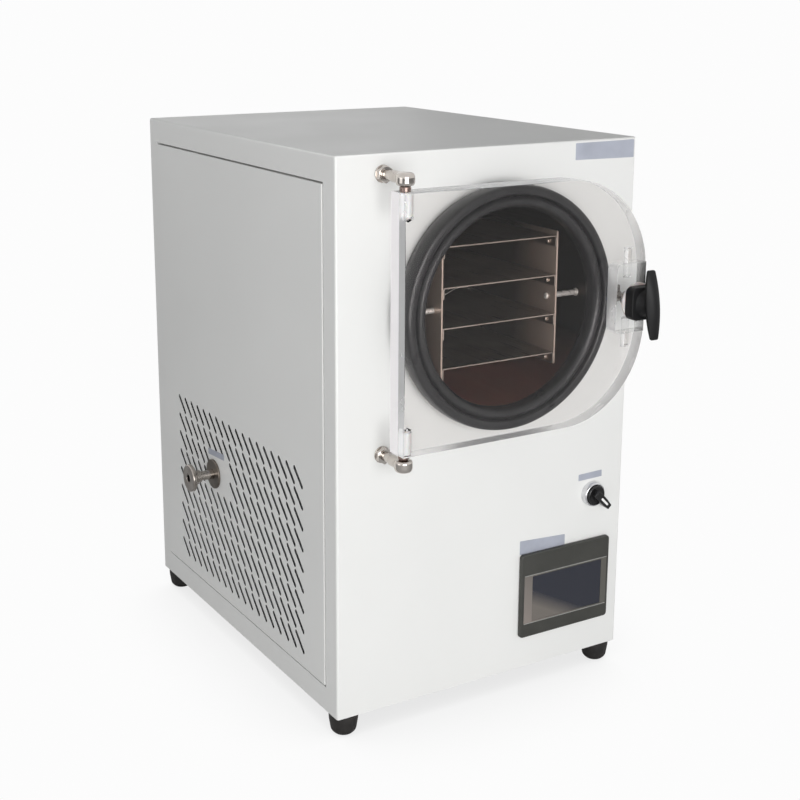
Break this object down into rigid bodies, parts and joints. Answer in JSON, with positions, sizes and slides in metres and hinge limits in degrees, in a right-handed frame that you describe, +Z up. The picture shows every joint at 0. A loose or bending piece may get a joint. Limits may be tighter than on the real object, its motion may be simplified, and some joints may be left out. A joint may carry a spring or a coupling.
{
  "type": "freeze dryer",
  "caption": "Bench-top freeze dryer: sheet-steel cabinet on rubber feet, round vacuum chamber with shelves behind a clear swing door, side vacuum port, screen and selector.",
  "frame": {"origin": "centre of the bounding box at the underside of the feet", "axes": "+X to the right seen from the front, +Y from the door towards the rear, +Z up"},
  "size_m": [0.438, 0.6, 0.66],
  "materials": {
    "cabinet_paint": "smooth off-white satin powder coat",
    "pan_paint": "smooth off-white satin powder coat",
    "foot_rubber": "matte black moulded rubber",
    "chamber_steel": "dark polished stainless steel with drawing marks",
    "gasket_rubber": "smooth grey moulded rubber, worn glossy on its bead",
    "foam": "cut polyurethane foam",
    "copper": "drawn copper tube, lightly tarnished",
    "rack_steel": "brushed stainless sheet",
    "hinge_steel": "polished stainless steel",
    "nylon": "white nylon",
    "clear_acrylic": "clear cast acrylic with sawn and polished edges",
    "latch_steel": "bright zinc-plated steel",
    "handle_plastic": "black moulded plastic",
    "port_steel": "dark turned stainless steel",
    "screen_frame": "dark grey moulded plastic",
    "screen_glass": "dark glossy screen, switched off",
    "black_plastic": "black moulded plastic",
    "switch_ring": "bright anodised aluminium",
    "knob_plastic": "black moulded plastic with a white line",
    "compressor_paint": "black enamel",
    "condenser_fins": "mill-finish aluminium fins",
    "control_box_paint": "light grey paint"
  },
  "bodies": {
    "cabinet": {"cabinet_shell": "cabinet_paint", "left_side_panel": "cabinet_paint", "right_side_panel": "cabinet_paint", "rear_panel": "cabinet_paint", "base_pan": "pan_paint", "foot_front_left": "foot_rubber", "foot_front_right": "foot_rubber", "foot_rear_left": "foot_rubber", "foot_rear_right": "foot_rubber", "chamber_drum": "chamber_steel", "chamber_gasket": "gasket_rubber", "drum_insulation": "foam", "evaporator_coil": "copper", "filter_drier": "copper", "suction_line": "copper", "liquid_line": "copper", "rack_plate_left": "rack_steel", "rack_plate_right": "rack_steel", "shelf_1": "rack_steel", "shelf_2": "rack_steel", "shelf_3": "rack_steel", "shelf_4": "rack_steel", "rack_standoff_left_front": "rack_steel", "rack_standoff_left_rear": "rack_steel", "rack_standoff_right_front": "rack_steel", "rack_standoff_right_rear": "rack_steel", "hinge_joint_top": "hinge_steel", "hinge_joint_bottom": "hinge_steel", "hinge_nut_top": "hinge_steel", "hinge_nut_bottom": "hinge_steel", "latch_keeper": "latch_steel", "port_wall_flange": "port_steel", "port_tube": "port_steel", "port_end_flange": "port_steel", "vacuum_line": "port_steel", "screen_bezel": "screen_frame", "screen_glass": "screen_glass", "screen_housing": "black_plastic", "switch_body": "black_plastic", "fan_frame": "black_plastic", "power_inlet": "black_plastic", "switch_bezel": "switch_ring", "compressor": "compressor_paint", "condenser": "condenser_fins", "control_box": "control_box_paint"},
    "door": {"door_panel": "clear_acrylic", "latch_block": "clear_acrylic", "latch_dowel_top": "clear_acrylic", "latch_dowel_bottom": "clear_acrylic", "latch_washer": "nylon", "hinge_pin_top": "hinge_steel", "hinge_pin_bottom": "hinge_steel", "hinge_bush_top": "nylon", "hinge_bush_bottom": "nylon"},
    "latch": {"latch_shaft": "latch_steel", "latch_cam": "latch_steel", "t_handle": "handle_plastic"},
    "selector": {"switch_knob": "knob_plastic"},
    "fan_wheel": {"fan_blades": "black_plastic"}
  },
  "joints": [
    {"name": "door_hinge", "type": "hinge", "parent": "cabinet", "child": "door", "pos_m": [-0.1255, -0.2515, 0.4845], "axis": [0, 0, -1], "range_deg": [0, 150]},
    {"name": "latch_turn", "type": "hinge", "parent": "door", "child": "latch", "pos_m": [0.176, -0.2515, 0.4805], "axis": [0, -1, 0], "range_deg": [0, 90]},
    {"name": "selector_turn", "type": "hinge", "parent": "cabinet", "child": "selector", "pos_m": [0.171, -0.214, 0.231], "axis": [0, 1, 0], "range_deg": [0, 90]},
    {"name": "fan_spin", "type": "hinge", "parent": "cabinet", "child": "fan_wheel", "pos_m": [-0.1067, -0.018, 0.167], "axis": [1, 0, 0], "continuous": true}
  ]
}
